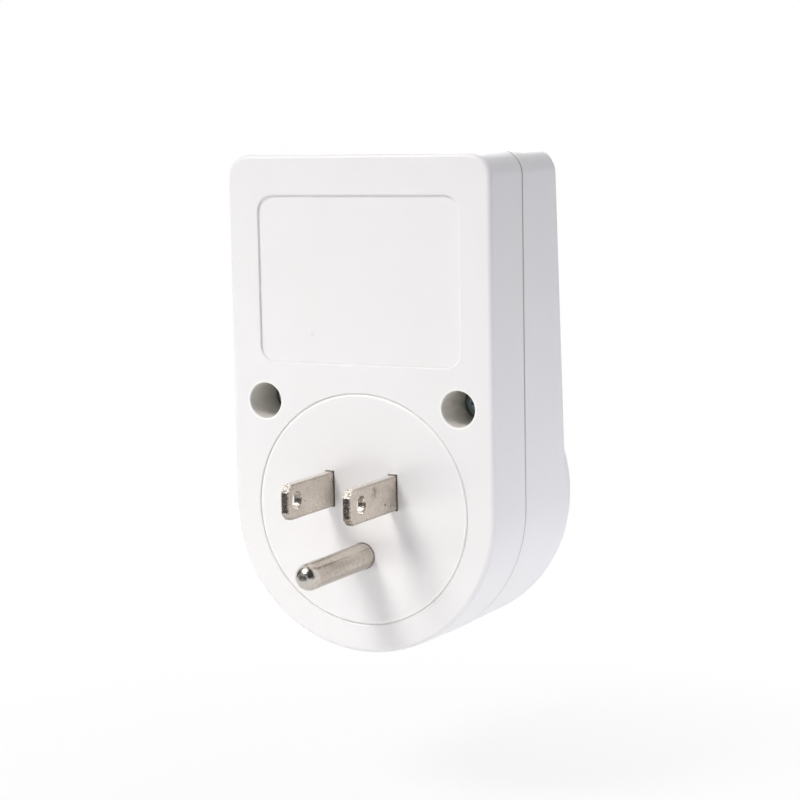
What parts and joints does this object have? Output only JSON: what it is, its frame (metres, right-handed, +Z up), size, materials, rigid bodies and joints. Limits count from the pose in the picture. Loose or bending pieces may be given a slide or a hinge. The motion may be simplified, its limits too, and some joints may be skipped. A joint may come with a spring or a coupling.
{
  "type": "plug-in voltage protector",
  "caption": "Plug-in appliance voltage protector: two-part white housing with a grounded plug on its wall side, a grounded outlet on the other, and a relay board inside.",
  "frame": {"origin": "centre of the round plug base, on the flat face that lies against the wall outlet", "axes": "+Z up the wall, +Y out of the wall face along the prongs (into the wall), -Y towards the appliance's plug, +X to the left as the picture sees the wall side"},
  "size_m": [0.053, 0.0561, 0.0903],
  "materials": {
    "housing_white": "satin moulded",
    "nickel": "brushed nickel plate",
    "screw_steel": "dark zinc",
    "carrier_plastic": "plain moulded",
    "contact_brass": "plain",
    "board_green": "solder mask",
    "relay_black": "plain",
    "relay_blue": "gloss",
    "coil_copper": "enamelled wire",
    "relay_iron": "zinc plate",
    "contact_silver": "plain",
    "varistor_blue": "dipped",
    "film_yellow": "plain",
    "capacitor_sleeve": "sleeve",
    "package_black": "plain",
    "resistor_tan": "plain",
    "lens_green": "clear tinted",
    "lens_yellow": "clear tinted",
    "lens_red": "clear tinted",
    "wire_black": "plain",
    "wire_white": "plain",
    "wire_green": "plain"
  },
  "bodies": {
    "housing": {"rear_cover": "housing_white", "front_cover": "housing_white", "housing_screws": "screw_steel", "plug_base": "housing_white", "line_blade": "nickel", "neutral_blade": "nickel", "ground_pin": "nickel", "outlet_face": "housing_white", "contact_carrier": "carrier_plastic", "carrier_screws": "screw_steel", "line_contact": "contact_brass", "neutral_contact": "contact_brass", "ground_contact": "contact_brass", "main_board": "board_green", "board_screws": "screw_steel", "relay_base": "relay_black", "relay_cover": "relay_blue", "relay_bobbin": "carrier_plastic", "relay_coil": "coil_copper", "relay_coil_pins": "contact_silver", "relay_core": "relay_iron", "relay_yoke": "relay_iron", "relay_fixed_contact": "contact_brass", "relay_fixed_button": "contact_silver", "relay_return_spring": "contact_brass", "varistor": "varistor_blue", "dropper_capacitor": "film_yellow", "smoothing_capacitor": "capacitor_sleeve", "bridge_rectifier": "package_black", "board_resistors": "resistor_tan", "control_chip": "package_black", "driver_transistor": "package_black", "led_green": "lens_green", "led_yellow": "lens_yellow", "led_red": "lens_red", "line_in_wire": "wire_black", "line_out_wire": "wire_black", "neutral_tap_wire": "wire_white", "neutral_link_wire": "wire_white", "ground_link_wire": "wire_green"},
    "armature": {"relay_armature": "relay_iron", "relay_moving_leaf": "contact_brass", "relay_moving_button": "contact_silver"}
  },
  "joints": [
    {"name": "armature_swing", "type": "hinge", "parent": "housing", "child": "armature", "pos_m": [0.0137, -0.02079, 0.038], "axis": [0, 0, -1], "range_deg": [0, 4], "stiffness_Nm_per_rad": 0.02, "springref_deg": -5.73}
  ]
}
